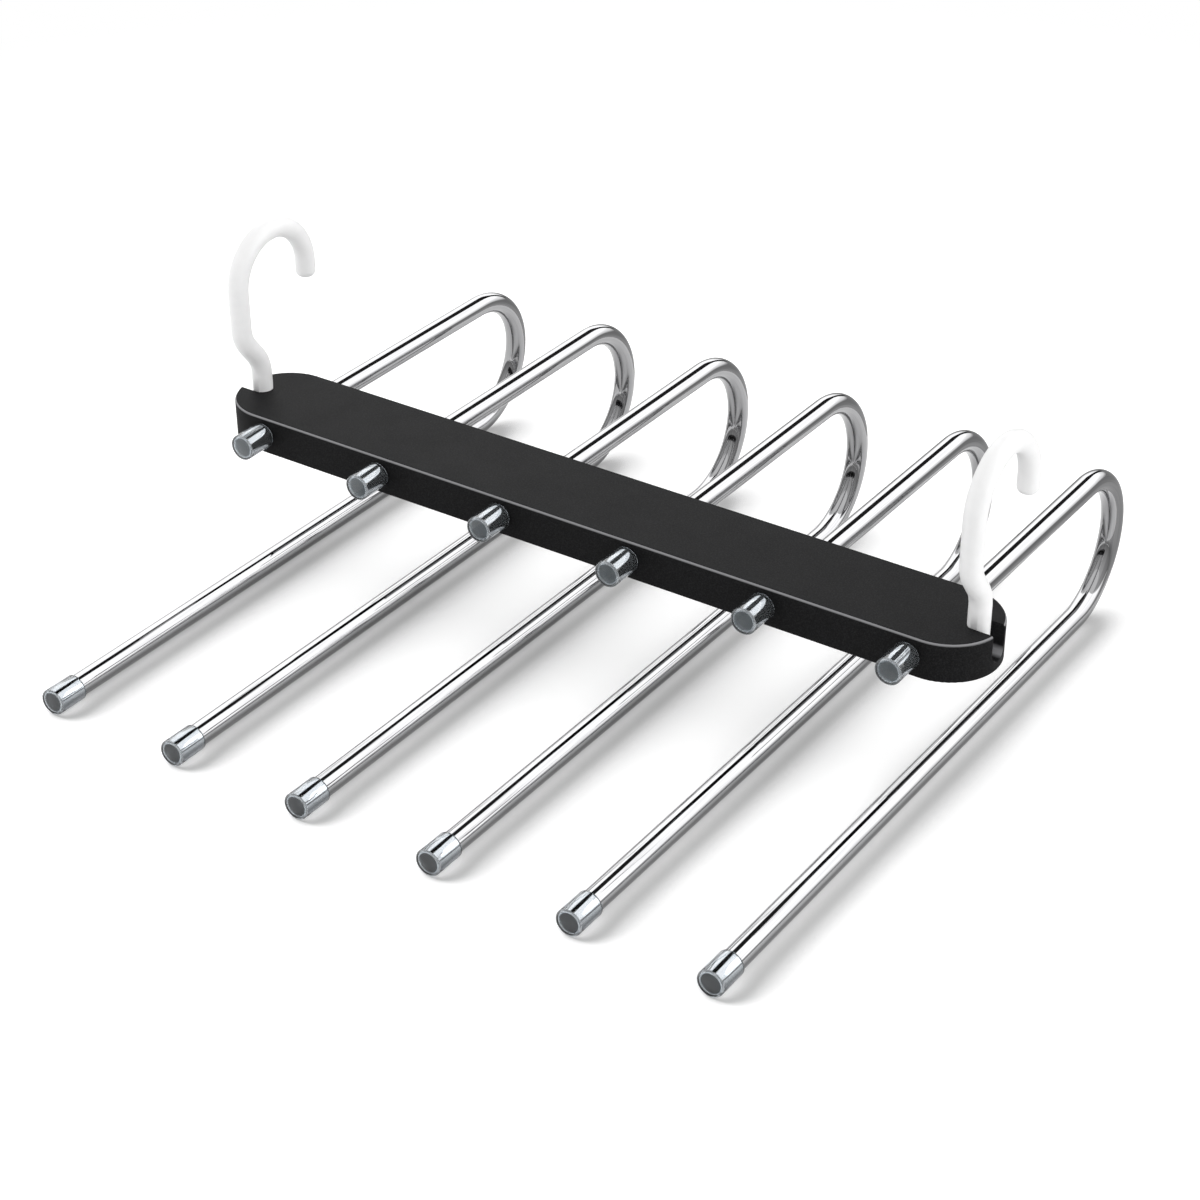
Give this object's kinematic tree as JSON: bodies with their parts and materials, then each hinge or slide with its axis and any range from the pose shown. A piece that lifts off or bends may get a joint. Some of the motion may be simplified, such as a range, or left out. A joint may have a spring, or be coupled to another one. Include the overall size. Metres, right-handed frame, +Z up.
{
  "type": "trouser hanger",
  "caption": "Folding trouser hanger: a bar carries a row of U-bent tubes, each swivelling about its short upper arm, and a rail hook at either end folds outwards.",
  "frame": {"origin": "Middle of the box round the hanger, on the ground that the lower arms' caps stand on", "axes": "X along the bar, Y from the open ends of the arms to their bends, Z up"},
  "size_m": [0.364, 0.3228, 0.1521],
  "materials": {
    "moulded_black": "moulded black plastic with a fine grain",
    "hook_white": "smooth white coating on the hook's rod",
    "tube_steel": "bright polished stainless steel tube",
    "cap_clear": "clear soft plastic with a faint blue-grey tint",
    "collar_ivory": "natural moulded plastic, hidden in the bar",
    "pin_steel": "plain ground steel pin, hidden in the bar",
    "zinc_plated_steel": "bright zinc-plated countersunk screws"
  },
  "bodies": {
    "bar": {"bar_housing": "moulded_black", "bottom_cover": "moulded_black", "cover_screws": "zinc_plated_steel", "left_hook_pin": "pin_steel", "right_hook_pin": "pin_steel"},
    "arm_1": {"tube_1": "tube_steel", "arm_cap_1": "cap_clear", "stub_cap_1": "cap_clear", "stop_collar_1": "collar_ivory"},
    "arm_2": {"tube_2": "tube_steel", "arm_cap_2": "cap_clear", "stub_cap_2": "cap_clear", "stop_collar_2": "collar_ivory"},
    "arm_3": {"tube_3": "tube_steel", "arm_cap_3": "cap_clear", "stub_cap_3": "cap_clear", "stop_collar_3": "collar_ivory"},
    "arm_4": {"tube_4": "tube_steel", "arm_cap_4": "cap_clear", "stub_cap_4": "cap_clear", "stop_collar_4": "collar_ivory"},
    "arm_5": {"tube_5": "tube_steel", "arm_cap_5": "cap_clear", "stub_cap_5": "cap_clear", "stop_collar_5": "collar_ivory"},
    "arm_6": {"tube_6": "tube_steel", "arm_cap_6": "cap_clear", "stub_cap_6": "cap_clear", "stop_collar_6": "collar_ivory"},
    "left_rail_hook": {"left_hook": "hook_white"},
    "right_rail_hook": {"right_hook": "hook_white"}
  },
  "joints": [
    {"name": "arm_1_swivel", "type": "hinge", "parent": "bar", "child": "arm_1", "pos_m": [-0.155, -0.00588, 0.06962], "axis": [0, -1, 0], "range_deg": [-74, 75.5]},
    {"name": "arm_2_swivel", "type": "hinge", "parent": "bar", "child": "arm_2", "pos_m": [-0.093, -0.00588, 0.06962], "axis": [0, -1, 0], "range_deg": [-71.5, 73.5]},
    {"name": "arm_3_swivel", "type": "hinge", "parent": "bar", "child": "arm_3", "pos_m": [-0.031, -0.00588, 0.06962], "axis": [0, -1, 0], "range_deg": [-72.5, 72.5]},
    {"name": "arm_4_swivel", "type": "hinge", "parent": "bar", "child": "arm_4", "pos_m": [0.031, -0.00588, 0.06962], "axis": [0, -1, 0], "range_deg": [-73.5, 71.5]},
    {"name": "arm_5_swivel", "type": "hinge", "parent": "bar", "child": "arm_5", "pos_m": [0.093, -0.00588, 0.06962], "axis": [0, -1, 0], "range_deg": [-74.5, 70.5]},
    {"name": "arm_6_swivel", "type": "hinge", "parent": "bar", "child": "arm_6", "pos_m": [0.155, -0.00588, 0.06962], "axis": [0, -1, 0], "range_deg": [-72.5, 77]},
    {"name": "left_hook_fold", "type": "hinge", "parent": "bar", "child": "left_rail_hook", "pos_m": [-0.173, -0.00588, 0.06962], "axis": [0, -1, 0], "range_deg": [0, 90]},
    {"name": "right_hook_fold", "type": "hinge", "parent": "bar", "child": "right_rail_hook", "pos_m": [0.173, -0.00588, 0.06962], "axis": [0, 1, 0], "range_deg": [0, 90]}
  ]
}
